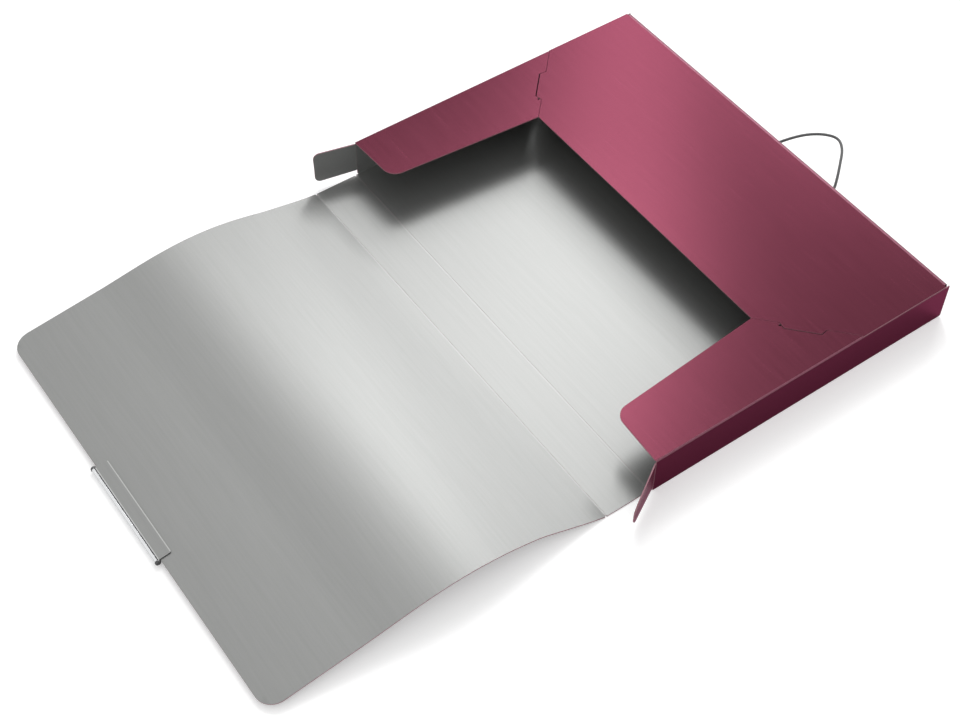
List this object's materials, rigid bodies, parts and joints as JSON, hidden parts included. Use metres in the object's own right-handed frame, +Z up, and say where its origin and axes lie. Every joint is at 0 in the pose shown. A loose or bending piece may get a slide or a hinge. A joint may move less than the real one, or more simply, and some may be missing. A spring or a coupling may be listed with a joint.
{
  "type": "document box",
  "caption": "Shallow folded plastic box for A4 papers with a wrap-over lid, tuck tabs, hooked flaps, edge clip and an elastic loop, lying open.",
  "frame": {"origin": "centre of the base panel's underside, on the surface that the box lies on", "axes": "+X along the spine, +Y from the open mouth to the spine, +Z up out of the tray; the open lid lies on the -Y side"},
  "size_m": [0.3536, 0.5528, 0.031],
  "materials": {
    "blank_outside": "satin garnet polypropylene with a fine metallic sheen",
    "blank_inside": "satin silver-grey polypropylene",
    "clip_plate": "satin grey",
    "clip_metal": "polished",
    "clip_cap": "satin dark grey",
    "elastic": "braided cover over rubber",
    "barb_metal": "plain"
  },
  "bodies": {
    "tray_base": {"base_panel": "blank_inside"},
    "front_wall": {"front_wall": "blank_inside"},
    "lid_near": {"lid_near": "blank_inside"},
    "lid_far": {"lid_far": "blank_inside", "clip_leaf": "clip_plate", "clip_back_plate": "clip_plate", "clip_rivets": "clip_metal", "clip_bead": "clip_metal", "clip_cap_left": "clip_cap", "clip_cap_right": "clip_cap"},
    "spine_wall": {"spine_wall": "blank_outside", "elastic_cord": "elastic", "cord_barb_left": "barb_metal", "cord_barb_right": "barb_metal"},
    "left_end_wall": {"left_end_wall": "blank_outside"},
    "right_end_wall": {"right_end_wall": "blank_outside"},
    "left_flap": {"left_flap": "blank_outside"},
    "right_flap": {"right_flap": "blank_outside"},
    "spine_flap": {"spine_flap": "blank_outside"},
    "left_tuck_tab": {"left_tuck_tab": "blank_inside"},
    "right_tuck_tab": {"right_tuck_tab": "blank_outside"}
  },
  "joints": [
    {"name": "front_wall_fold", "type": "hinge", "parent": "tray_base", "child": "front_wall", "pos_m": [0, -0.1221, 0.0004], "axis": [-1, 0, 0], "range_deg": [0, 90]},
    {"name": "lid_fold", "type": "hinge", "parent": "front_wall", "child": "lid_near", "pos_m": [0, -0.1547, 0.0004], "axis": [-1, 0, 0], "range_deg": [0, 79.4]},
    {"name": "lid_flex", "type": "hinge", "parent": "lid_near", "child": "lid_far", "pos_m": [0, -0.26204, 0.02049], "axis": [-1, 0, 0], "range_deg": [0, 18.41]},
    {"name": "left_wall_fold", "type": "hinge", "parent": "tray_base", "child": "left_end_wall", "pos_m": [-0.1646, 0, 0.0004], "axis": [0, 1, 0], "range_deg": [-90, 0]},
    {"name": "right_wall_fold", "type": "hinge", "parent": "tray_base", "child": "right_end_wall", "pos_m": [0.1646, 0, 0.0004], "axis": [0, -1, 0], "range_deg": [-90, 0]},
    {"name": "spine_wall_fold", "type": "hinge", "parent": "tray_base", "child": "spine_wall", "pos_m": [0, 0.1221, 0.0004], "axis": [1, 0, 0], "range_deg": [-90, 0]},
    {"name": "left_flap_fold", "type": "hinge", "parent": "left_end_wall", "child": "left_flap", "pos_m": [-0.1646, 0, 0.0306], "axis": [0, 1, 0], "range_deg": [-90, 0]},
    {"name": "right_flap_fold", "type": "hinge", "parent": "right_end_wall", "child": "right_flap", "pos_m": [0.1646, 0, 0.0306], "axis": [0, -1, 0], "range_deg": [-90, 0]},
    {"name": "spine_flap_fold", "type": "hinge", "parent": "spine_wall", "child": "spine_flap", "pos_m": [0, 0.1221, 0.0306], "axis": [1, 0, 0], "range_deg": [-90, 0]},
    {"name": "left_tab_fold", "type": "hinge", "parent": "left_end_wall", "child": "left_tuck_tab", "pos_m": [-0.1646, -0.1205, 0.0169], "axis": [0, 0, 1], "range_deg": [0, 104]},
    {"name": "right_tab_fold", "type": "hinge", "parent": "right_end_wall", "child": "right_tuck_tab", "pos_m": [0.1646, -0.1205, 0.0169], "axis": [0, 0, -1], "range_deg": [0, 122]}
  ],
  "couplings": [
    {"joint": "lid_flex", "follows": "lid_fold", "ratio": 0.23174}
  ]
}
